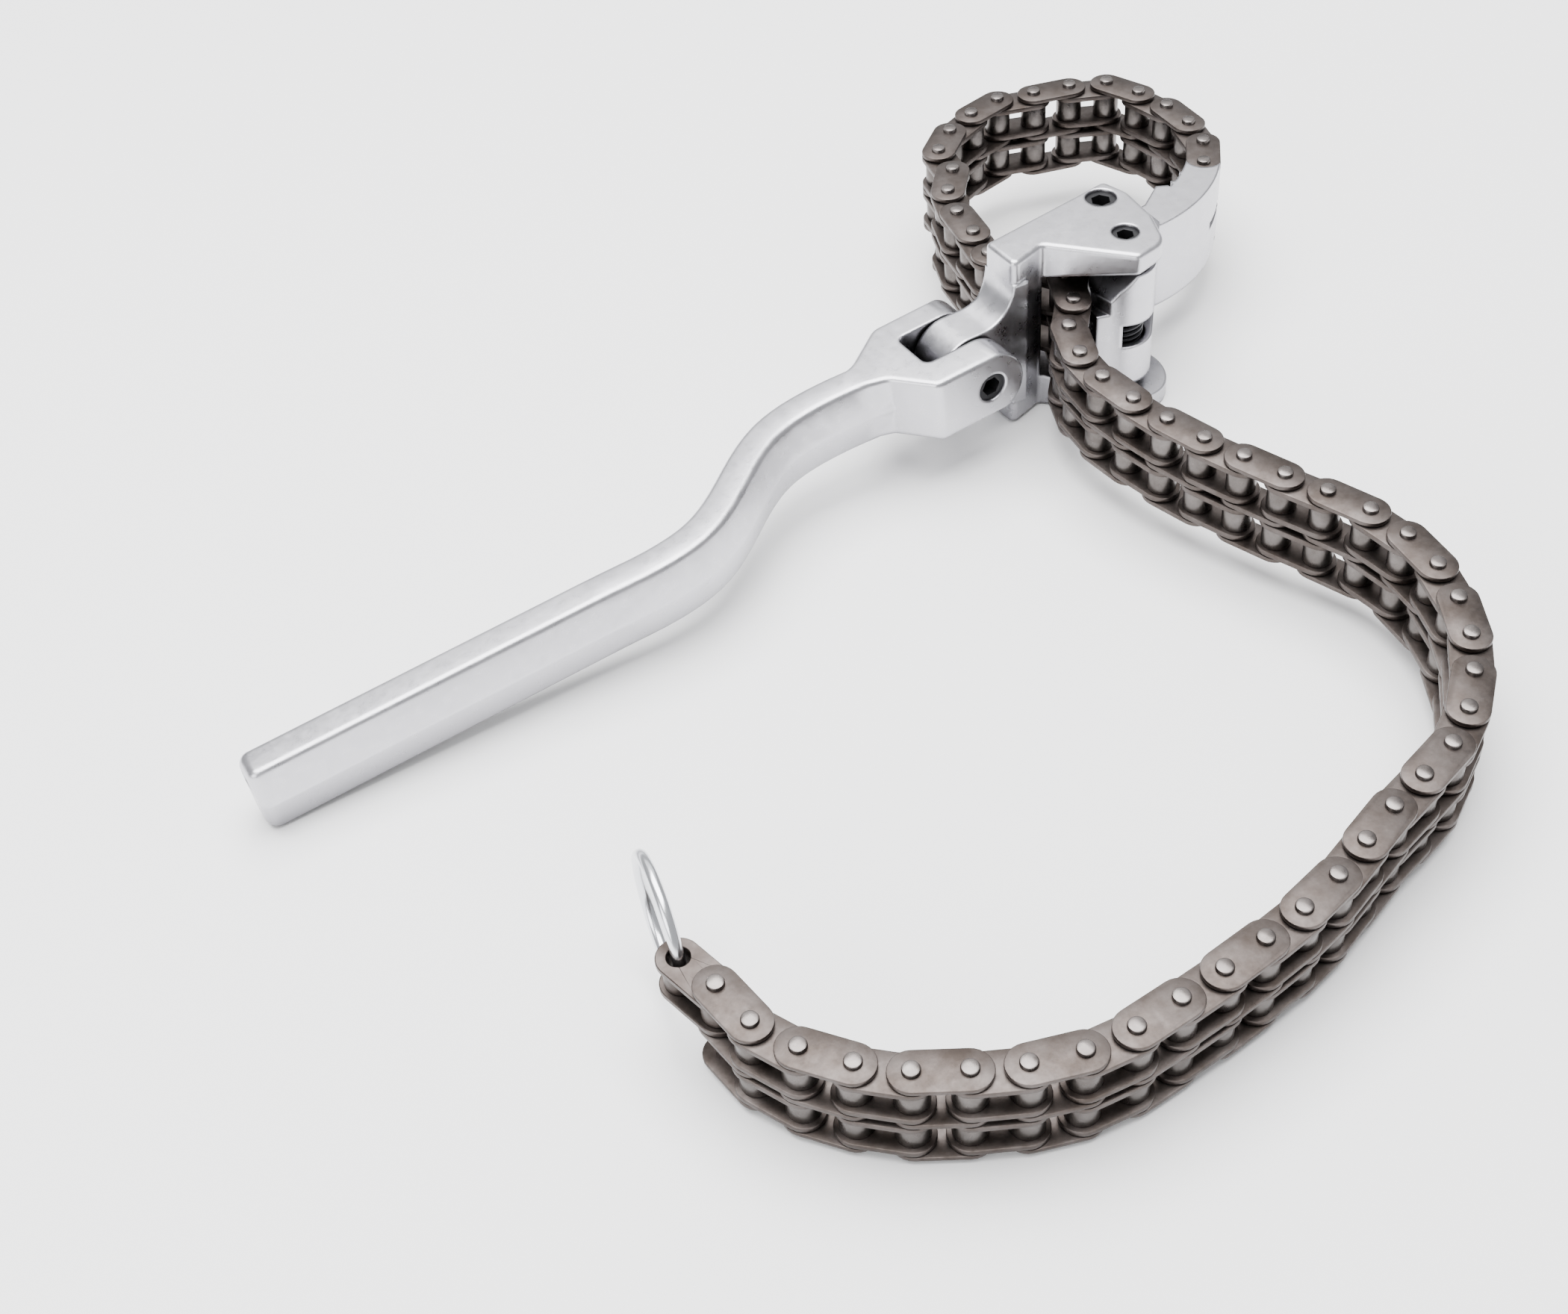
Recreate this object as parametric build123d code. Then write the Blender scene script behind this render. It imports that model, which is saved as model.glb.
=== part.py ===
from build123d import *
import os
from math import cos, radians, sin

# Chain wrench for oil filters: a clamping head, a tilting handle and a duplex roller chain.
# +X runs from the handle to the head, +Z is up, and the origin is on the head's underside,
# below the pawl screw. All sizes are in millimetres.

# ---------------------------------------------------------------- driving dimensions
HEAD_HEIGHT = 44.0
PLATE_THICK_WALL = 8.5      # a cheek plate beside the wall
PLATE_TAPER = 1.0 / 6.0     # how fast a cheek thins towards the jaw
PAWL_SCREW_AT = (0.0, 0.0)
JAW_SCREW_AT = (-4.3, -14.3)
PAWL_SCREW_R = 3.6
JAW_SCREW_R = 3.1
SCREW_RECESS = 0.7
RUNNING_GAP = 0.06          # radial clearance of a part that turns on a pin

WALL_X = -31.5              # outer face of the head's wall
PIVOT_X = -44.0             # handle pivot
PIVOT_Z = HEAD_HEIGHT / 2
TONGUE_Y = (-11.0, -0.4)
FORGING_HEIGHT = 16.4       # height of the handle and its fork
HANDLE_PIN_R = 3.5
HANDLE_DROOP = 4.41         # the handle's lean at rest, its far end on the ground

FORK_Y = (-19.3, 6.9)
FORK_SLOT_Y = (-11.6, 0.2)
FORK_SLOT_END_X = -55.8
HANDLE_LENGTH = 181.5       # pivot to far end
HANDLE_TOP_FLAT = 7.1
HANDLE_WIDTH = 10.8
NECK_LINE = [(-60.0, -6.0), (-74.0, -4.5), (-84.0, -4.5), (-93.0, -6.2), (-104.0, -12.4),
             (-114.5, -20.2), (-123.5, -24.5), (-134.0, -25.9), (-150.0, -25.5)]
GRIP_END_Y = -24.3

PITCH = 9.525
PLATE_H = 8.2
PIN_R = 1.64
PIN_LENGTH = 23.4
PIN_HEAD = 1.0
OUTER_PLATE_T = 1.05
MIDDLE_PLATE_T = 1.2
INNER_PLATE_T = 1.3
STRAND_HEIGHT = 8.53        # over the inner plates of one strand
STRAND_SPACING = 10.24
BUSH_R = 2.25
ROLLER_R = 3.175

CHAIN_Z = 10.0              # underside of the chain where it passes the head
LOOP_START = (40.6, 11.7)
LOOP_HEADING = 51.0
LOOP_TURNS = [21, 13, 13, 11, 44, 10, -3, 31, 10, 17, 38, -28, 20, 10, -2, 42, -1, -52]
TAIL_TURNS = [-18, 20, 16, 12, 4, 5, 4, 1, 2, -2, -13, -13, -13, -10, -11, -9, -11, -14,
              -1, 4, 0, -6, -5, -2, -2, -1, -9, -12, -9, -4, -12, -9, -13, -18, 6]
TAIL_SLOPE = 2.78           # the tail leans down from the head until its far side is grounded
TAIL_LEVEL_LINE = (0.880, -0.474)

FILTER_CENTRE = (13.5, 31.0)
JAW_OUTER_R = 36.0
JAW_INNER_R = 27.6
JAW_Z = (11.4, 33.8)

RING_WIRE_R = 1.2
RING_R = 12.0
RING_REACH = 11.6           # bush axis to the ring's centre
RING_BORE_R = 2.1
RING_LEAN = -24.0           # ring plane to the last link's line

SPRING_WIRE_R = 0.6
SPRING_R = 4.5
SPRING_TURNS = 7

os.makedirs("parts", exist_ok=True)


def save(shape, name):
    """Writes one sub-part."""
    export_step(shape, f"parts/{name}.step")


def prism(points, low, high, radius=None):
    """An upright prism over a plan outline, with its corners rounded where radii are given."""
    if radius is None:
        line = Polyline(*points, close=True)
    else:
        line = FilletPolyline(*points, radius=radius, close=True)
    return Pos(0, 0, low) * extrude(make_face(line), high - low)


def upright_cylinder(at, radius, low, high):
    """An upright cylinder between two heights."""
    return Pos(at[0], at[1], (low + high) / 2) * Cylinder(radius, high - low)


def cross_cylinder(x, z, radius, low, high):
    """A cylinder along Y between two Y values."""
    return Pos(x, (low + high) / 2, z) * Rot(X=90) * Cylinder(radius, high - low)


def hexagon_prism(across_flats, depth):
    """A hexagon socket's volume, standing on Z=0."""
    return extrude(RegularPolygon(across_flats / 2, 6, major_radius=False), depth)


# ---------------------------------------------------------------- head: pull body
CHEEK = [(WALL_X, 1.0), (4.8, 5.4), (6.4, -1.5), (4.8, -12.5), (0.6, -22.4),
         (-7.8, -23.8), (-22.0, -7.2), (WALL_X, -10.0)]
CHEEK_CORNERS = [1.4, 1.5, 6.0, 6.0, 5.0, 1.5, 1.5, 1.5]
CHEEK_EDGE_R = 1.1
WALL_CORNER = (-22.0, -7.2)


def slot_between_cheeks():
    """The open space between the cheeks, which widens away from the wall."""
    along = Vector(0.683, -0.730, 0)
    frame = Plane(
        origin=(*WALL_CORNER, 0), x_dir=along, z_dir=along.cross(Vector(0, 0, 1))
    )
    low = PLATE_THICK_WALL
    high = HEAD_HEIGHT - PLATE_THICK_WALL
    reach = 36.0
    drop = reach * PLATE_TAPER
    profile = [(-reach, low), (0, low), (reach, low - drop), (reach, high + drop),
               (0, high), (-reach, high)]
    wedge = extrude(frame * make_face(Polyline(*profile, close=True)), 60, both=True)
    beyond_wall = prism(
        [WALL_CORNER, (-24.6, 5.0), (-24.6, 20), (30, 20), (30, -40), (WALL_CORNER[0], -40)],
        0, HEAD_HEIGHT,
    )
    return wedge & beyond_wall


def tongue():
    """The neck that drops from the wall and ends in a round eye for the handle's pin."""
    half = FORGING_HEIGHT / 2
    sweep_r = 8.0
    lean = cos(radians(45))
    neck_x = WALL_X - sweep_r
    inside = WALL_X + 4.0
    top = PIVOT_Z + half
    bottom = PIVOT_Z - half
    with BuildSketch(Plane.XZ) as profile:
        with BuildLine():
            Line((inside, bottom - sweep_r), (WALL_X, bottom - sweep_r))
            ThreePointArc((WALL_X, bottom - sweep_r),
                          (WALL_X - sweep_r * (1 - lean), bottom - sweep_r * (1 - lean)),
                          (neck_x, bottom))
            Line((neck_x, bottom), (PIVOT_X, bottom))
            ThreePointArc((PIVOT_X, bottom), (PIVOT_X - half, PIVOT_Z), (PIVOT_X, top))
            Line((PIVOT_X, top), (neck_x, top))
            ThreePointArc((neck_x, top),
                          (WALL_X - sweep_r * (1 - lean), top + sweep_r * (1 - lean)),
                          (WALL_X, top + sweep_r))
            Line((WALL_X, top + sweep_r), (inside, top + sweep_r))
            Line((inside, top + sweep_r), (inside, bottom - sweep_r))
        make_face()
    side = extrude(profile.sketch, 40, both=True)
    plan = prism(
        [(inside, 0.9), (WALL_X, 0.9), (-34.5, TONGUE_Y[1]), (-60.0, TONGUE_Y[1]),
         (-60.0, TONGUE_Y[0]), (-40.0, TONGUE_Y[0] + 0.3), (WALL_X, -9.9), (inside, -9.9)],
        0, HEAD_HEIGHT,
    )
    return side & plan


def pull_body():
    """The forged lever: two cheek plates, the wall that joins them and the handle's tongue."""
    body = prism(CHEEK, 0, HEAD_HEIGHT, CHEEK_CORNERS)
    body = fillet(body.faces().sort_by(Axis.Z)[-1].edges(), CHEEK_EDGE_R)
    body = fillet(body.faces().sort_by(Axis.Z)[0].edges(), CHEEK_EDGE_R)
    heel = upright_cylinder((-2.6, -14.6), 9.7, 0, PLATE_THICK_WALL)
    body = (body + heel) - slot_between_cheeks()
    body += tongue()
    for at, radius in ((PAWL_SCREW_AT, PAWL_SCREW_R), (JAW_SCREW_AT, JAW_SCREW_R)):
        body -= upright_cylinder(at, radius, 0.8, HEAD_HEIGHT + 1)
    bore = HANDLE_PIN_R + RUNNING_GAP
    body -= cross_cylinder(PIVOT_X, PIVOT_Z, bore, TONGUE_Y[0] - 1, TONGUE_Y[1] + 1)
    return body


def socket_screw(at, radius, across_flats):
    """A flush screw with a hexagon socket, threaded into both cheeks."""
    top = HEAD_HEIGHT - SCREW_RECESS
    screw = upright_cylinder(at, radius, 0.8, top)
    socket_depth = 4.0
    screw -= Pos(at[0], at[1], top - socket_depth) * hexagon_prism(across_flats, socket_depth)
    return screw


# ---------------------------------------------------------------- head: jaw
def on_circle(radius, angle):
    """A point around the filter's centre, at an angle in degrees."""
    return (FILTER_CENTRE[0] + radius * cos(radians(angle)),
            FILTER_CENTRE[1] + radius * sin(radians(angle)))


def jaw_arm():
    """The curved arm, from the neck to the tip that the chain is pinned to."""
    tip = -36.0
    root = -97.0
    with BuildSketch() as plan:
        with BuildLine():
            ThreePointArc(on_circle(JAW_OUTER_R, root), on_circle(JAW_OUTER_R, -66),
                          on_circle(JAW_OUTER_R + 1.2, tip))
            Line(on_circle(JAW_OUTER_R + 1.2, tip), on_circle(JAW_INNER_R + 1.6, tip))
            ThreePointArc(on_circle(JAW_INNER_R + 1.6, tip), on_circle(JAW_INNER_R, -60),
                          on_circle(JAW_INNER_R, root))
            Line(on_circle(JAW_INNER_R, root), on_circle(JAW_OUTER_R, root))
        make_face()
    arm = Pos(0, 0, JAW_Z[0]) * extrude(plan.sketch, JAW_Z[1] - JAW_Z[0])
    arm += upright_cylinder(LOOP_START, PLATE_H / 2, *JAW_Z)
    # biting edge against the filter: one long tooth and two short ones towards the tip
    teeth = [[(16.0, 1.0), (16.4, 3.9), (23.4, 8.6), (25.9, 7.2), (26.0, 2.0)],
             [(26.0, 3.0), (27.6, 8.2), (30.6, 6.0)],
             [(30.0, 5.0), (31.6, 10.0), (35.0, 8.0)]]
    for tooth in teeth:
        arm += prism(tooth, *JAW_Z)
    return arm


def jaw():
    """The jaw: a boss on the jaw screw, a toothed heel that bites the chain, and the arm."""
    boss_z = (7.4, 36.6)
    x, y = JAW_SCREW_AT
    body = upright_cylinder(JAW_SCREW_AT, 7.2, *boss_z)
    heel = [(x, y - 7.2), (-11.2, -18.8), (-12.1, -12.8), (-10.4, -9.4),
            (-8.6, -8.6), (-1.5, -8.0), (5.6, -5.6), (2.9, -14.3)]
    body += prism(heel, *boss_z)
    ledge = [(-10.0, -19.2), (-11.2, -18.8), (-14.2, -17.7), (-12.9, -13.6), (-12.1, -12.8),
             (-10.0, -12.8)]
    body += prism(ledge, boss_z[0], 27.0)
    # the outer wall runs straight from the boss to the arm
    neck = [(1.1, -19.06), (13.5, -5.0), (14.0, 0.0), (12.5, 3.2), (5.6, -5.6), (-3.0, -8.4)]
    body += prism(neck, JAW_Z[0], boss_z[1])
    body += jaw_arm()
    # the heel's top falls away towards the chain, so that the links can be seen and freed
    relief_front = [(-30, 30.5), (-11.0, 30.5), (-5.0, 37.5), (-30, 37.5)]
    relief = extrude(Plane.XZ * make_face(Polyline(*relief_front, close=True)), 40, both=True)
    body -= relief
    # past the cheeks the top slopes down to the arm's own level
    slope = [(7.0, boss_z[1]), (17.0, JAW_Z[1]), (60.0, JAW_Z[1]), (60.0, 50.0), (7.0, 50.0)]
    body -= extrude(Plane.XZ * make_face(Polyline(*slope, close=True)), 60, both=True)
    # the anchor link's middle and bottom plates sit in the tip
    a = radians(LOOP_HEADING)
    clear = Pos(*LOOP_START) * Rot(Z=LOOP_HEADING) * Pos(PITCH / 2, 0) * SlotCenterToCenter(
        PITCH, PLATE_H + 1.0)
    middle = CHAIN_Z + PIN_LENGTH / 2
    body -= Pos(0, 0, middle - 0.9) * extrude(clear, 1.8)
    slit = Pos(*LOOP_START) * Rot(Z=LOOP_HEADING - 6) * Pos(-3.0, 0) * SlotCenterToCenter(
        8.0, PLATE_H + 2.0)
    body -= Pos(0, 0, middle - 0.9) * extrude(slit, 1.8)
    body -= Pos(0, 0, JAW_Z[0] - 1) * extrude(clear, CHAIN_Z + 2.3 - JAW_Z[0] + 1)
    plate_low = CHAIN_Z + PIN_LENGTH - PIN_HEAD - OUTER_PLATE_T
    body -= Pos(0, 0, plate_low - 0.15) * extrude(clear, 6.0)
    body -= upright_cylinder(LOOP_START, PIN_R + RUNNING_GAP, 0, HEAD_HEIGHT)
    # clear of the first rollers past the tip
    nxt = (LOOP_START[0] + PITCH * cos(a), LOOP_START[1] + PITCH * sin(a))
    body -= upright_cylinder(nxt, PLATE_H / 2 + 0.4, 0, HEAD_HEIGHT)
    # bore, spring chamber and its window
    body -= upright_cylinder(JAW_SCREW_AT, JAW_SCREW_R + RUNNING_GAP, 0, HEAD_HEIGHT)
    body -= upright_cylinder(JAW_SCREW_AT, SPRING_R + SPRING_WIRE_R + 0.4, 14.4, 26.2)
    window = [(x - 4.2, y), (x - 4.2, y - 12), (x + 12, y - 12), (x + 12, y + 1.0)]
    body -= prism(window, 17.6, 23.6)
    return body


def torsion_spring():
    """The spring wound round the jaw screw, seen through the boss's window."""
    pitch = 2 * SPRING_WIRE_R + 0.25
    path = Helix(pitch, pitch * SPRING_TURNS, SPRING_R)
    start = Plane(origin=path @ 0, z_dir=path % 0)
    coil = sweep(start * Circle(SPRING_WIRE_R), path=path, is_frenet=True)
    return Pos(JAW_SCREW_AT[0], JAW_SCREW_AT[1], 15.4) * coil


def pawl():
    """The toothed dog on the pawl screw that keeps the chain from running back."""
    outline = [(3.6, 3.2), (-5.0, 3.4), (-9.4, 0.6), (-8.4, -1.6), (-9.0, -3.4), (-5.0, -4.0),
               (3.8, -4.0)]
    body = upright_cylinder(PAWL_SCREW_AT, 5.0, 9.4, 34.6)
    body += prism(outline, 9.4, 34.6, 0.6)
    body -= prism([(-12, -6), (-6.2, -6), (-6.2, 6), (-12, 6)], CHAIN_Z + 10.4, CHAIN_Z + 13.0)
    body -= upright_cylinder(PAWL_SCREW_AT, PAWL_SCREW_R + RUNNING_GAP, 0, HEAD_HEIGHT)
    return body


# ---------------------------------------------------------------- handle
def handle_path():
    """The grip's centre line in plan: an S from the fork, then straight to the far end."""
    far = (PIVOT_X - HANDLE_LENGTH, GRIP_END_Y)
    last = NECK_LINE[-1]
    along = (far[0] - last[0], far[1] - last[1])
    bend = Spline(*NECK_LINE, tangents=[(-1.0, 0.12), along])
    return Wire([bend.edge(), Line(last, far).edge()])


def handle_section():
    """The grip's hexagonal section, standing at the path's start."""
    half = FORGING_HEIGHT / 2
    flat = HANDLE_TOP_FLAT / 2
    side = HANDLE_WIDTH / 2
    points = [(flat, half), (side, 0), (flat, -half), (-flat, -half), (-side, 0), (-flat, half)]
    face = make_face(FilletPolyline(*points, radius=[1.3, 1.0, 1.3, 1.3, 1.0, 1.3], close=True))
    start = Plane(origin=(*NECK_LINE[0], 0), x_dir=(0.12, 1.0, 0), z_dir=(-1.0, 0.12, 0))
    return start * face


def fork():
    """The clevis: it narrows into the grip, and its ears are round about the pivot."""
    half = FORGING_HEIGHT / 2
    near, away = FORK_Y
    mouth = PIVOT_X + half + 2.0
    outline = [(mouth, away), (-57.8, away), (-68.8, -0.9), (-80.0, -2.2), (-80.0, -7.0),
               (-70.5, -8.3), (-65.0, -10.2), (-57.8, near), (mouth, near)]
    block = prism(outline, -half, half, [0.5, 5.0, 8.0, 0.5, 0.5, 8.0, 3.0, 2.5, 0.5])
    block = fillet(block.faces().sort_by(Axis.Z)[-1].edges(), 1.2)
    block = fillet(block.faces().sort_by(Axis.Z)[0].edges(), 1.8)
    reach = 40.0
    ends = Pos(PIVOT_X - reach, (near + away) / 2, 0) * Box(2 * reach, 2 * reach, 2 * half)
    ends += cross_cylinder(PIVOT_X, 0, half, near - 1, away + 1)
    return block & ends


def handle():
    """The forged handle, made level about the pivot and then leant to the ground."""
    grip = sweep(handle_section(), path=handle_path(), transition=Transition.RIGHT)
    far_edges = grip.edges().filter_by_position(
        Axis.X, PIVOT_X - HANDLE_LENGTH - 0.1, PIVOT_X - HANDLE_LENGTH + 0.1)
    try:
        grip = fillet(far_edges, 2.4)
    except Exception:
        grip = chamfer(far_edges, 1.2)
    body = grip + fork()
    low, high = FORK_SLOT_Y
    mouth = PIVOT_X + 20
    slot = prism([(FORK_SLOT_END_X, low), (FORK_SLOT_END_X, high), (mouth, high), (mouth, low)],
                 -20, 20, [2.0, 2.0, 0.2, 0.2])
    body -= slot
    body -= cross_cylinder(PIVOT_X, 0, HANDLE_PIN_R, -40, 40)
    return lean(body)


def lean(shape):
    """Moves a shape made about the pivot's level to its place on the tilted handle."""
    return Pos(0, 0, PIVOT_Z) * shape.rotate(Axis((PIVOT_X, 0, 0), (0, 1, 0)), -HANDLE_DROOP)


def handle_pin():
    """The pivot pin, held in the ears, with a hexagon socket at its near end."""
    low = FORK_Y[0] + 0.6
    high = FORK_Y[1] - 0.6
    pin = cross_cylinder(PIVOT_X, 0, HANDLE_PIN_R, low, high)
    socket = Pos(PIVOT_X, low, 0) * Rot(X=-90) * hexagon_prism(4.0, 4.0)
    return lean(pin - socket)


# ---------------------------------------------------------------- chain
def plate(thickness, low, holes):
    """A straight-sided link plate from one pin at the origin to the next along X."""
    body = extrude(Pos(PITCH / 2, 0) * SlotCenterToCenter(PITCH, PLATE_H), thickness)
    for x, radius in zip((0, PITCH), holes):
        body -= Pos(x, 0, thickness / 2) * Cylinder(radius, thickness)
    return Pos(0, 0, low) * body


def strand_low(strand):
    """The underside of one strand's inner plates, above the chain's underside."""
    return PIN_LENGTH / 2 + (strand - 0.5) * STRAND_SPACING - STRAND_HEIGHT / 2


def outer_link(with_middle=True):
    """Two pins riveted through the two outer plates, and a middle plate between the strands."""
    holes = (PIN_R, PIN_R)
    top = PIN_LENGTH - PIN_HEAD - OUTER_PLATE_T
    pieces = [plate(OUTER_PLATE_T, PIN_HEAD, holes), plate(OUTER_PLATE_T, top, holes)]
    if with_middle:
        pieces.append(plate(MIDDLE_PLATE_T, (PIN_LENGTH - MIDDLE_PLATE_T) / 2, holes))
    for x in (0, PITCH):
        pieces.append(upright_cylinder((x, 0), PIN_R, 0, PIN_LENGTH))
    return pieces


def inner_link(strands=(0, 1), end_bore=None):
    """For each strand two plates on two bushes, and a loose roller on each bush."""
    bore = PIN_R + RUNNING_GAP
    bores = (bore, end_bore or bore)
    bushes = (BUSH_R, (end_bore or bore) + BUSH_R - bore)
    gap = 0.1
    pieces = []
    for strand in strands:
        low = strand_low(strand)
        high = low + STRAND_HEIGHT
        body = plate(INNER_PLATE_T, low, bores) + plate(INNER_PLATE_T, high - INNER_PLATE_T, bores)
        for x, hole, bush in zip((0, PITCH), bores, bushes):
            body += upright_cylinder((x, 0), bush, low, high)
            body -= upright_cylinder((x, 0), hole, low, high)
        pieces.append(body.solid())
        for x, bush in zip((0, PITCH), bushes):
            low_r = low + INNER_PLATE_T + gap
            high_r = high - INNER_PLATE_T - gap
            roller = upright_cylinder((x, 0), ROLLER_R, low_r, high_r)
            pieces.append(roller - upright_cylinder((x, 0), bush + RUNNING_GAP, low_r, high_r))
    return pieces


def route(start, heading, turns):
    """Each link's first pin and heading, one pitch apart, turning by the given angles."""
    x, y = start
    links = [(x, y, heading)]
    for turn in turns:
        x += PITCH * cos(radians(heading))
        y += PITCH * sin(radians(heading))
        heading += turn
        links.append((x, y, heading))
    return links


def placed(pieces, link):
    """A link's solids at their place on the level chain."""
    x, y, heading = link
    return [Pos(x, y, CHAIN_Z) * Rot(Z=heading) * piece for piece in pieces]


LOOP = route(LOOP_START, LOOP_HEADING, LOOP_TURNS)
EXIT = LOOP[-1]
TAIL = route((EXIT[0] + PITCH * cos(radians(EXIT[2])), EXIT[1] + PITCH * sin(radians(EXIT[2]))),
             EXIT[2] + TAIL_TURNS[0], TAIL_TURNS[1:])
TAIL_AXIS = Axis((EXIT[0], EXIT[1], CHAIN_Z + PIN_LENGTH / 2), (*TAIL_LEVEL_LINE, 0))


def tilted(pieces):
    """The tail's solids, leant about the middle of the exit link's first pin."""
    return [piece.rotate(TAIL_AXIS, TAIL_SLOPE) for piece in pieces]


def exit_pin_space():
    """The room that the exit link's first pin needs in the last bushes of the loop."""
    pin = upright_cylinder((0, 0), PIN_R + RUNNING_GAP, -1, PIN_LENGTH + 1)
    return tilted(placed([pin], EXIT))[0]


def pull_ring(link):
    """The round wire ring through the last bush, made whole and placed on the last link."""
    middle = strand_low(1) + STRAND_HEIGHT / 2
    lean_angle = radians(RING_LEAN)
    centre = Pos(PITCH + RING_REACH * cos(lean_angle), RING_REACH * sin(lean_angle), middle)
    ring = centre * Rot(Z=RING_LEAN) * Rot(X=90) * Torus(RING_R, RING_WIRE_R)
    return tilted(placed([ring], link))


def save_chain():
    """The closed loop in a few grouped nodes, and the tail link by link."""
    save(Compound(placed(outer_link(with_middle=False), LOOP[0])), "anchor_link")
    outer = []
    inner_plates = []
    rollers = []
    for n, link in enumerate(LOOP[1:-1], start=1):
        if n % 2 == 0:
            outer += placed(outer_link(), link)
        else:
            pieces = placed(inner_link(), link)
            if n == len(LOOP) - 2:
                # the next link hangs slightly out of line, so its pin's bore is eased
                pieces = [piece - exit_pin_space() for piece in pieces]
            inner_plates += pieces[0::3]
            rollers += pieces[1::3] + pieces[2::3]
    save(Compound(outer), "loop_outer_links")
    save(Compound(inner_plates), "loop_inner_links")
    save(Compound(rollers), "loop_rollers")
    save(Compound(tilted(placed(outer_link(), EXIT))), "exit_link")
    last = len(TAIL) - 1
    for n, link in enumerate(TAIL):
        if n == last:
            end = inner_link(strands=(1,), end_bore=RING_BORE_R)
            save(Compound(tilted(placed(end, link))), "tail_end_link")
        elif n % 2 == 0:
            save(Compound(tilted(placed(inner_link(), link))), f"tail_inner_link_{n // 2 + 1:02d}")
        else:
            save(Compound(tilted(placed(outer_link(), link))), f"tail_outer_link_{n // 2 + 1:02d}")
    save(Compound(pull_ring(TAIL[last])), "pull_ring")


save(pull_body(), "pull_body")
save(socket_screw(PAWL_SCREW_AT, PAWL_SCREW_R, 4.0), "pawl_screw")
save(socket_screw(JAW_SCREW_AT, JAW_SCREW_R, 3.5), "jaw_screw")
save(jaw(), "jaw")
save(pawl(), "pawl")
save(torsion_spring(), "torsion_spring")
save(handle(), "handle")
save(handle_pin(), "handle_pin")
save_chain()
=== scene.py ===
"""Oil-filter chain wrench: a forged head with a hinged jaw, a tilting handle and a duplex chain.

Every visible piece is built round the CAD frame and rides on one of its bodies. Row frame, metres.
"""

import math

import bmesh
import bpy
from mathutils import Matrix, Vector


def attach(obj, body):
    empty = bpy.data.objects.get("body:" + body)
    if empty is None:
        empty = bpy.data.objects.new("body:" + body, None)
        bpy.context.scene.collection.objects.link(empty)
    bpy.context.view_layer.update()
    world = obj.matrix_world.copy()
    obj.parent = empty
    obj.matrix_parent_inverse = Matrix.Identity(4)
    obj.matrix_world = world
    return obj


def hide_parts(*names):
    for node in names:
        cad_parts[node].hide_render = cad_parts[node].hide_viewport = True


MM = 0.001

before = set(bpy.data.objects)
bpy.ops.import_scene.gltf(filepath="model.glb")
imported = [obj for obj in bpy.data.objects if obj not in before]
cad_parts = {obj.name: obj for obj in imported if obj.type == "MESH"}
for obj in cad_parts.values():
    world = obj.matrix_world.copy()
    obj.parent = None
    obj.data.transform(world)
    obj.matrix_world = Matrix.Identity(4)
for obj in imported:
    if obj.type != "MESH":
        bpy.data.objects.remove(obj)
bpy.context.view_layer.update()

# ------------------------------------------------------------------ camera, light and floor
CAMERA_AT = Vector((-0.2706, -0.3319, 0.3124))
CAMERA_AZIMUTH = math.radians(28.3)
CAMERA_DOWN = math.radians(43.78)
CAMERA_ROLL = math.radians(-5.2)
SENSOR_MM = 36.0
LENS_MM = 49.6

WORLD_COLOUR = (0.97, 0.98, 1.0)
WORLD_STRENGTH = 0.62
FLOOR_SIZE = 4.0
FLOOR_DROP = 0.0002          # keeps the floor just clear of the tool's underside
FLOOR_COLOUR = (0.93, 0.93, 0.935)


def add_camera():
    """The camera, placed by its position, heading, pitch and roll."""
    cam_data = bpy.data.cameras.new("camera")
    cam_data.sensor_width = SENSOR_MM
    cam_data.lens = LENS_MM
    cam_data.clip_start = 0.01
    cam_data.clip_end = 20.0
    cam = bpy.data.objects.new("camera", cam_data)
    bpy.context.scene.collection.objects.link(cam)
    forward = Vector((
        math.sin(CAMERA_AZIMUTH) * math.cos(CAMERA_DOWN),
        math.cos(CAMERA_AZIMUTH) * math.cos(CAMERA_DOWN),
        -math.sin(CAMERA_DOWN),
    ))
    turn = forward.to_track_quat("-Z", "Y").to_matrix().to_4x4()
    cam.matrix_world = (
        Matrix.Translation(CAMERA_AT) @ turn @ Matrix.Rotation(CAMERA_ROLL, 4, "Z")
    )
    bpy.context.scene.camera = cam


def add_area(name, at, target, size, energy):
    """A soft rectangular light aimed at a point."""
    data = bpy.data.lights.new(name, "AREA")
    data.shape = "RECTANGLE"
    data.size = size[0]
    data.size_y = size[1]
    data.energy = energy
    light = bpy.data.objects.new(name, data)
    light.location = at
    aim = Vector(target) - Vector(at)
    light.rotation_euler = aim.to_track_quat("-Z", "Y").to_euler()
    bpy.context.scene.collection.objects.link(light)


def add_world():
    """An even pale surround."""
    world = bpy.data.worlds.new("studio")
    world.use_nodes = True
    background = world.node_tree.nodes["Background"]
    background.inputs["Color"].default_value = (*WORLD_COLOUR, 1.0)
    background.inputs["Strength"].default_value = WORLD_STRENGTH
    bpy.context.scene.world = world


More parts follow.
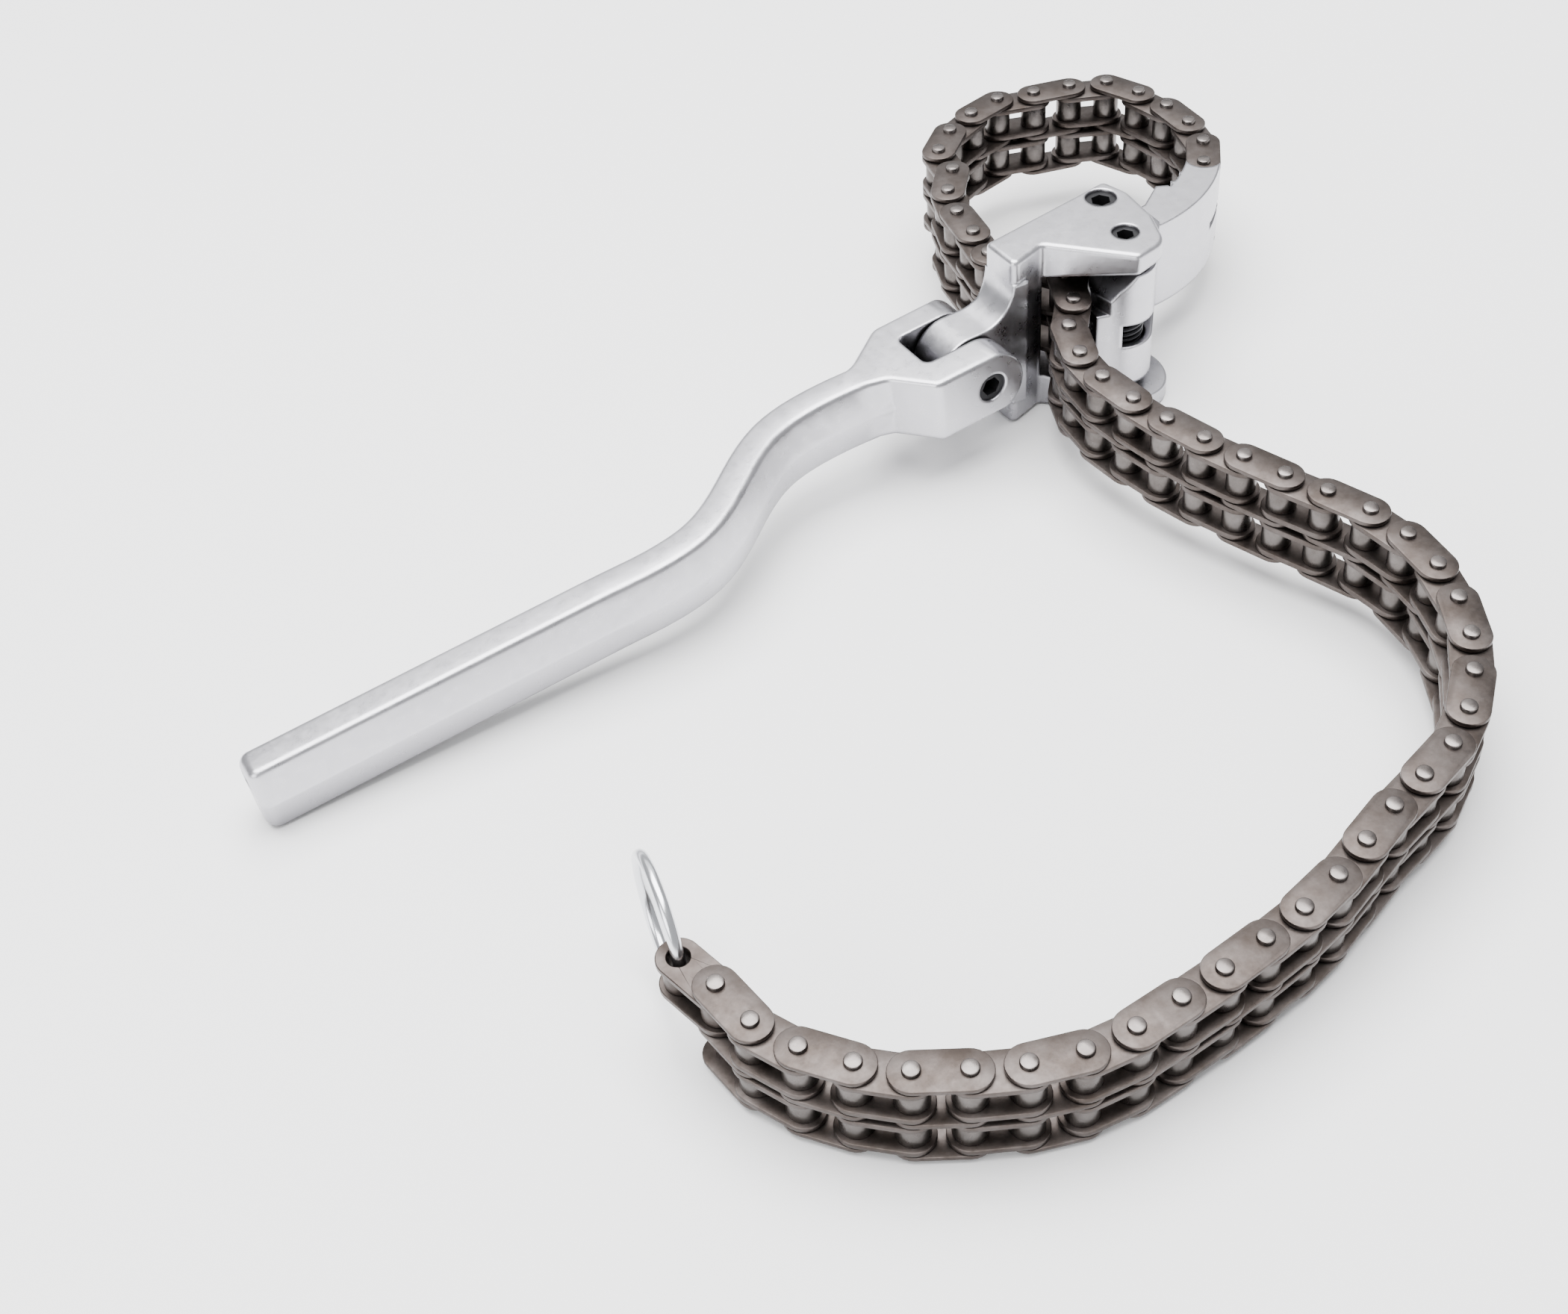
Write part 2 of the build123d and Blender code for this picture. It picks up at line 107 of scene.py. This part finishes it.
def add_floor():
    """A pale sheet that the tool lies on."""
    bm = bmesh.new()
    bmesh.ops.create_grid(bm, x_segments=1, y_segments=1, size=FLOOR_SIZE)
    mesh = bpy.data.meshes.new("floor")
    bm.to_mesh(mesh)
    bm.free()
    floor = bpy.data.objects.new("floor", mesh)
    floor.location = (0.0, 0.0, -FLOOR_DROP)
    bpy.context.scene.collection.objects.link(floor)
    mat = bpy.data.materials.new("floor")
    mat.use_nodes = True
    shader = mat.node_tree.nodes["Principled BSDF"]
    shader.inputs["Base Color"].default_value = (*FLOOR_COLOUR, 1.0)
    shader.inputs["Roughness"].default_value = 0.9
    shader.inputs["Specular IOR Level"].default_value = 0.1
    mesh.materials.append(mat)


add_camera()
add_world()
add_area("overhead", (-0.1, 0.1, 1.3), (-0.08, -0.04, 0.0), (1.4, 1.4), 66.0)
add_area("behind", (0.5, 1.0, 0.95), (-0.05, -0.03, 0.0), (1.6, 0.9), 5.5)
add_area("side", (-0.9, -0.35, 0.4), (-0.05, -0.05, 0.02), (0.6, 0.5), 5.0)
add_floor()


# ------------------------------------------------------------------ materials
def new_material(name, metallic, colour, roughness, slot_name):
    """A plain metal, marked with the slot that its pieces fill."""
    mat = bpy.data.materials.new(name)
    mat.use_nodes = True
    mat.diffuse_color = (*colour, 1.0)
    shader = mat.node_tree.nodes["Principled BSDF"]
    shader.inputs["Base Color"].default_value = (*colour, 1.0)
    shader.inputs["Metallic"].default_value = metallic
    shader.inputs["Roughness"].default_value = roughness
    mat["slot"] = slot_name
    return mat


def noise(tree, scale, detail=2.0, rough=0.5):
    """A noise texture on Object coordinates, its scale in cycles per metre."""
    coord = tree.nodes.new("ShaderNodeTexCoord")
    tex = tree.nodes.new("ShaderNodeTexNoise")
    tex.inputs["Scale"].default_value = scale
    tex.inputs["Detail"].default_value = detail
    tex.inputs["Roughness"].default_value = rough
    tree.links.new(coord.outputs["Object"], tex.inputs["Vector"])
    return tex.outputs["Fac"]


def ramp(tree, source, stops):
    """A colour ramp over a 0 to 1 source."""
    node = tree.nodes.new("ShaderNodeValToRGB")
    node.color_ramp.elements[0].position = stops[0][0]
    node.color_ramp.elements[0].color = (*stops[0][1], 1.0)
    node.color_ramp.elements[1].position = stops[-1][0]
    node.color_ramp.elements[1].color = (*stops[-1][1], 1.0)
    for position, colour in stops[1:-1]:
        element = node.color_ramp.elements.new(position)
        element.color = (*colour, 1.0)
    tree.links.new(source, node.inputs["Fac"])
    return node.outputs["Color"]


NOISE_SPAN = (0.3, 0.7)      # where nearly all of a noise texture's values lie


def spread(tree, source, low, high):
    """Maps a noise onto a range."""
    node = tree.nodes.new("ShaderNodeMapRange")
    node.inputs["From Min"].default_value = NOISE_SPAN[0]
    node.inputs["From Max"].default_value = NOISE_SPAN[1]
    node.inputs["To Min"].default_value = low
    node.inputs["To Max"].default_value = high
    tree.links.new(source, node.inputs["Value"])
    return node.outputs["Result"]


def bump(tree, shader, height, strength, distance, edge_radius=0.0):
    """Adds a surface bump, over softened edges where a radius is given."""
    node = tree.nodes.new("ShaderNodeBump")
    node.inputs["Strength"].default_value = strength
    node.inputs["Distance"].default_value = distance
    tree.links.new(height, node.inputs["Height"])
    if edge_radius:
        soft = tree.nodes.new("ShaderNodeBevel")
        soft.samples = 8
        soft.inputs["Radius"].default_value = edge_radius
        tree.links.new(soft.outputs["Normal"], node.inputs["Normal"])
    tree.links.new(node.outputs["Normal"], shader.inputs["Normal"])


def hollow_shade(tree, reach, samples=8):
    """How open a surface is to its surroundings, from 0 in a crevice to 1 on an open face."""
    node = tree.nodes.new("ShaderNodeAmbientOcclusion")
    node.samples = samples
    node.inputs["Distance"].default_value = reach
    return node.outputs["AO"]


# Forging colours: its own tone on open faces, then painted half shade and painted crevice shade
# for the hollows.
FORGING_TONE = (0.565, 0.56, 0.59)
FORGING_PAINTED_HALF_SHADE = (0.40, 0.395, 0.42)
FORGING_PAINTED_CREVICE_SHADE = (0.10, 0.095, 0.10)


def forging_material():
    """Satin chrome over a lightly uneven forged skin, its colour darkened by painted shade in
    corners and crevices.
    """
    mat = new_material("satin_forging", 1.0, (0.555, 0.555, 0.58), 0.30, "satin_forging")
    tree = mat.node_tree
    shader = tree.nodes["Principled BSDF"]
    # Painted shade: an occlusion measure darkens the base colour towards corners, crevices and the
    # chain.
    openness = hollow_shade(tree, 0.016)
    stops = ((0.12, FORGING_PAINTED_CREVICE_SHADE), (0.5, FORGING_PAINTED_HALF_SHADE), (0.85, FORGING_TONE))
    tree.links.new(ramp(tree, openness, stops), shader.inputs["Base Color"])
    grain = noise(tree, 420.0, 4.0, 0.6)
    tree.links.new(spread(tree, grain, 0.25, 0.37), shader.inputs["Roughness"])
    bump(tree, shader, noise(tree, 900.0, 3.0, 0.6), 0.2, 0.0001, 0.001)
    return mat


def chain_material(name, tones, roughness, bump_size):
    """Oiled steel with slight brown staining, from the dark, middle and light tones given."""
    mat = new_material(name, 1.0, tones[1], roughness[0], "chain_steel")
    tree = mat.node_tree
    shader = tree.nodes["Principled BSDF"]
    stain = noise(tree, 140.0, 5.0, 0.65)
    tone = ramp(tree, stain, tuple(zip((0.32, 0.5, 0.68), tones)))
    tree.links.new(tone, shader.inputs["Base Color"])
    wear = noise(tree, 600.0, 3.0, 0.6)
    tree.links.new(spread(tree, wear, *roughness), shader.inputs["Roughness"])
    bump(tree, shader, noise(tree, 1500.0, 2.0, 0.5), 0.2, bump_size)
    return mat


PLATE_TONES = ((0.062, 0.050, 0.044), (0.088, 0.074, 0.068), (0.115, 0.100, 0.094))
PIN_TONES = ((0.12, 0.105, 0.098), (0.17, 0.152, 0.145), (0.22, 0.20, 0.19))
ROLLER_TONES = ((0.085, 0.075, 0.07), (0.12, 0.108, 0.102), (0.155, 0.142, 0.136))

FORGED = forging_material()
PLATE = chain_material("chain_plate", PLATE_TONES, (0.36, 0.50), 0.00006)
PIN = chain_material("chain_pin", PIN_TONES, (0.24, 0.34), 0.00004)
ROLLER = chain_material("chain_roller", ROLLER_TONES, (0.26, 0.38), 0.00003)
BLACK = new_material("black_oxide", 0.6, (0.018, 0.018, 0.02), 0.32, "black_steel")
SPRING_WIRE = new_material("spring_wire", 0.8, (0.03, 0.03, 0.033), 0.25, "black_steel")
WIRE = new_material("bright_wire", 1.0, (0.74, 0.75, 0.78), 0.22, "bright_wire")


# ------------------------------------------------------------------ making pieces
def add_piece(name, bm, material, body, stands_for=(), smooth_deg=35.0):
    """Turns a bmesh into a finished piece that rides on a body."""
    limit = math.radians(smooth_deg)
    for face in bm.faces:
        face.smooth = True
    for edge in bm.edges:
        edge.smooth = len(edge.link_faces) != 2 or edge.calc_face_angle(0.0) < limit
    mesh = bpy.data.meshes.new(name)
    bm.to_mesh(mesh)
    bm.free()
    mesh.materials.append(material)
    piece = bpy.data.objects.new(name, mesh)
    bpy.context.scene.collection.objects.link(piece)
    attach(piece, body)
    if stands_for:
        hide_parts(*stands_for)
    return piece


MERGE_DISTANCE = 2e-6


def finished_copy(node, body, material, smooth_deg=30.0):
    """A merged copy of a CAD node that stands for it, in a finish of its own."""
    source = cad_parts[node]
    bm = bmesh.new()
    bm.from_mesh(source.data)
    bm.transform(source.matrix_world)
    bmesh.ops.remove_doubles(bm, verts=bm.verts, dist=MERGE_DISTANCE)
    return add_piece(node + "_rounded", bm, material, body, (node,), smooth_deg)


def ease_edges(piece, width_mm, segments=3, angle=25.0):
    """Rounds a piece's sharp edges."""
    bevel = piece.modifiers.new("edges", "BEVEL")
    bevel.width = width_mm * MM
    bevel.segments = segments
    bevel.limit_method = "ANGLE"
    bevel.angle_limit = math.radians(angle)
    bevel.miter_outer = "MITER_ARC"


# ------------------------------------------------------------------ the chain, link by link
PITCH = 9.525
PLATE_R = 4.1
PIN_R = 1.64
ROLLER_R = 3.175
ROLLER_GAP = 0.1             # end play of a roller between its plates
ROLLER_EASE = 0.3
BUSH_R = 2.25
CHAIN_Z = 10.0
PIN_LENGTH = 23.4
STRAND_SPACING = 10.24
STRAND_HEIGHT = 8.53
INNER_T = 1.3
OUTER_T = 1.05
MIDDLE_T = 1.2
PIN_HEAD = 1.0
PIN_EASE = 0.4
PLATE_EASE = 0.22
PLATE_END_STEPS = 14
ROD_SIDES = 32
LOOP_START = (40.6, 11.7)
LOOP_HEADING = 51.0
LOOP_TURNS = [21, 13, 13, 11, 44, 10, -3, 31, 10, 17, 38, -28, 20, 10, -2, 42, -1, -52]
TAIL_TURNS = [-18, 20, 16, 12, 4, 5, 4, 1, 2, -2, -13, -13, -13, -10, -11, -9, -11, -14,
              -1, 4, 0, -6, -5, -2, -2, -1, -9, -12, -9, -4, -12, -9, -13, -18, 6]
TAIL_SLOPE = math.radians(2.78)
TAIL_LEVEL_LINE = Vector((0.880, -0.474, 0.0))
RING_R = 12.0
RING_REACH = 11.6
RING_WIRE_R = 1.2
RING_LEAN = -24.0
RING_WIRE_SIDES = 20
RING_STEPS = 96


def route(start, heading, turns):
    """Each link's first pin and heading."""
    x, y = start
    links = [(x, y, heading)]
    for turn in turns:
        x += PITCH * math.cos(math.radians(heading))
        y += PITCH * math.sin(math.radians(heading))
        heading += turn
        links.append((x, y, heading))
    return links


LOOP = route(LOOP_START, LOOP_HEADING, LOOP_TURNS)
EXIT = LOOP[-1]
TAIL = route(
    (EXIT[0] + PITCH * math.cos(math.radians(EXIT[2])),
     EXIT[1] + PITCH * math.sin(math.radians(EXIT[2]))),
    EXIT[2] + TAIL_TURNS[0], TAIL_TURNS[1:],
)
HINGE_POINT = Vector((EXIT[0], EXIT[1], CHAIN_Z + PIN_LENGTH / 2))
TILT = (
    Matrix.Translation(HINGE_POINT)
    @ Matrix.Rotation(TAIL_SLOPE, 4, TAIL_LEVEL_LINE)
    @ Matrix.Translation(-HINGE_POINT)
)
TO_METRES = Matrix.Scale(MM, 4)


def place_of(link, tilted):
    """A link's matrix from its own millimetres into the row frame."""
    x, y, heading = link
    level = Matrix.Translation((x, y, CHAIN_Z)) @ Matrix.Rotation(math.radians(heading), 4, "Z")
    return TO_METRES @ (TILT @ level if tilted else level)


def strand_low(strand):
    """The underside of one strand's inner plates."""
    return PIN_LENGTH / 2 + (strand - 0.5) * STRAND_SPACING - STRAND_HEIGHT / 2


def add_plate(bm, low, thickness):
    """A link plate with round ends and eased rims; the rods hide where its holes would be."""
    outline = []
    for end, x_mid in enumerate((0.0, PITCH)):
        for i in range(PLATE_END_STEPS + 1):
            angle = math.pi * (0.5 + end + i / PLATE_END_STEPS)
            outline.append((x_mid + PLATE_R * math.cos(angle), PLATE_R * math.sin(angle)))
    lower = [bm.verts.new((x, y, low)) for x, y in outline]
    raised = bmesh.ops.extrude_face_region(bm, geom=[bm.faces.new(lower)])
    upper = [v for v in raised["geom"] if isinstance(v, bmesh.types.BMVert)]
    bmesh.ops.translate(bm, verts=upper, vec=(0, 0, thickness))
    corners = set(lower + upper)
    rims = [e for e in bm.edges if corners.issuperset(e.verts)
            and abs(e.verts[0].co.z - e.verts[1].co.z) < 1e-6]
    bmesh.ops.bevel(bm, geom=rims, offset=PLATE_EASE, segments=2, profile=0.5,
                    affect="EDGES", material=-1)


def add_rod(bm, x, low, high, radius, edge, bore=0.0):
    """An upright rod, or a tube if it has a bore, turned from its half profile."""
    shoulder = [(radius - edge, low), (radius - edge * 0.3, low + edge * 0.3),
                (radius, low + edge), (radius, high - edge),
                (radius - edge * 0.3, high - edge * 0.3), (radius - edge, high)]
    if bore:
        half = edge * 0.5
        profile = [(bore, low + half), (bore + half, low), *shoulder,
                   (bore + half, high), (bore, high - half)]
    else:
        profile = [(0.0, low), *shoulder, (0.0, high)]
    points = [bm.verts.new((x + r, 0.0, z)) for r, z in profile]
    pairs = list(zip(points, points[1:]))
    if bore:
        pairs.append((points[-1], points[0]))
    edges = [bm.edges.new(pair) for pair in pairs]
    bmesh.ops.spin(bm, geom=points + edges, cent=(x, 0, 0), axis=(0, 0, 1),
                   angle=math.radians(360), steps=ROD_SIDES, use_merge=True)
    on_axis = [v for v in bm.verts if math.hypot(v.co.x - x, v.co.y) < 1e-5]
    bmesh.ops.remove_doubles(bm, verts=on_axis, dist=1e-4)


def make(build, placements):
    """Builds one mesh from a template repeated at several places."""
    whole = bmesh.new()
    for place in placements:
        part = bmesh.new()
        build(part)
        bmesh.ops.recalc_face_normals(part, faces=part.faces)
        part.transform(place)
        scratch = bpy.data.meshes.new("scratch")
        part.to_mesh(scratch)
        part.free()
        whole.from_mesh(scratch)
        bpy.data.meshes.remove(scratch)
    return whole


def end_plates(bm):
    """The two outermost plates of an outer link."""
    add_plate(bm, PIN_HEAD, OUTER_T)
    add_plate(bm, PIN_LENGTH - PIN_HEAD - OUTER_T, OUTER_T)


def outer_plates(bm):
    """All the plates of an outer link: the outermost ones and the middle one."""
    end_plates(bm)
    add_plate(bm, (PIN_LENGTH - MIDDLE_T) / 2, MIDDLE_T)


def outer_pins(bm):
    """The pins of an outer link, with chamfered ends."""
    for x in (0, PITCH):
        add_rod(bm, x, 0.0, PIN_LENGTH, PIN_R, PIN_EASE)


def inner_plates(bm):
    """The plates of an inner link's two strands."""
    for strand in (0, 1):
        low = strand_low(strand)
        add_plate(bm, low, INNER_T)
        add_plate(bm, low + STRAND_HEIGHT - INNER_T, INNER_T)


def rollers(bm):
    """The rollers of an inner link's two strands."""
    for strand in (0, 1):
        low = strand_low(strand) + INNER_T + ROLLER_GAP
        high = strand_low(strand) + STRAND_HEIGHT - INNER_T - ROLLER_GAP
        for x in (0, PITCH):
            add_rod(bm, x, low, high, ROLLER_R, ROLLER_EASE, BUSH_R)


def add_loop():
    """The closed loop, which turns with the jaw."""
    middle = [place_of(link, False) for link in LOOP[1:-1]]
    inner = middle[0::2]
    outer = middle[1::2]
    add_piece("loop_outer_plates", make(outer_plates, outer), PLATE, "jaw",
              ("loop_outer_links",))
    add_piece("loop_pins", make(outer_pins, outer), PIN, "jaw")
    add_piece("loop_inner_plates", make(inner_plates, inner), PLATE, "jaw",
              ("loop_inner_links",))
    add_piece("loop_roller_set", make(rollers, inner), ROLLER, "jaw", ("loop_rollers",))
    first = [place_of(LOOP[0], False)]
    add_piece("anchor_plates", make(end_plates, first), PLATE, "jaw", ("anchor_link",))
    add_piece("anchor_pins", make(outer_pins, first), PIN, "jaw")
    last = [place_of(EXIT, True)]
    add_piece("exit_plates", make(outer_plates, last), PLATE, "jaw", ("exit_link",))
    add_piece("exit_pins", make(outer_pins, last), PIN, "jaw")


def add_tail():
    """The free tail: every link rides on its own body."""
    for n, link in enumerate(TAIL[:-1]):
        place = [place_of(link, True)]
        if n % 2 == 0:
            node = f"tail_inner_link_{n // 2 + 1:02d}"
            add_piece(node + "_plates", make(inner_plates, place), PLATE, node, (node,))
            add_piece(node + "_rollers", make(rollers, place), ROLLER, node)
        else:
            node = f"tail_outer_link_{n // 2 + 1:02d}"
            add_piece(node + "_plates", make(outer_plates, place), PLATE, node, (node,))
            add_piece(node + "_pins", make(outer_pins, place), PIN, node)
    end_link = finished_copy("tail_end_link", "tail_end_link", PLATE)
    ease_edges(end_link, 0.18, 2, 40.0)


def add_ring():
    """The pull ring, bent from round wire and hung in the last link's bush."""
    lean = math.radians(RING_LEAN)
    reach = (PITCH + RING_REACH * math.cos(lean), RING_REACH * math.sin(lean),
             strand_low(1) + STRAND_HEIGHT / 2)
    quarter = math.radians(90)
    stand = Matrix.Rotation(lean, 4, "Z") @ Matrix.Rotation(quarter, 4, "X")
    bm = bmesh.new()
    bmesh.ops.create_circle(bm, cap_ends=False, radius=RING_WIRE_R, segments=RING_WIRE_SIDES)
    bmesh.ops.rotate(bm, verts=bm.verts, cent=(0, 0, 0), matrix=Matrix.Rotation(quarter, 3, "X"))
    bmesh.ops.translate(bm, verts=bm.verts, vec=(RING_R, 0, 0))
    bmesh.ops.spin(bm, geom=bm.verts[:] + bm.edges[:], cent=(0, 0, 0), axis=(0, 0, 1),
                   angle=math.radians(360), steps=RING_STEPS, use_merge=True)
    bmesh.ops.recalc_face_normals(bm, faces=bm.faces)
    bm.transform(place_of(TAIL[-1], True) @ Matrix.Translation(reach) @ stand)
    add_piece("ring_wire", bm, WIRE, "ring", ("pull_ring",))


def add_head_and_handle():
    """The forgings, the black fasteners and the spring."""
    for node, body in (("pull_body", "lever"), ("jaw", "jaw"), ("handle", "handle")):
        finished_copy(node, body, FORGED)
    ease_edges(finished_copy("pawl", "pawl", BLACK), 0.3)
    for node, body in (("pawl_screw", "lever"), ("jaw_screw", "lever"), ("handle_pin", "handle")):
        ease_edges(finished_copy(node, body, BLACK), 0.35)
    ease_edges(finished_copy("torsion_spring", "lever", SPRING_WIRE, 60.0), 0.01, 1, 80.0)


add_loop()
add_tail()
add_ring()
add_head_and_handle()
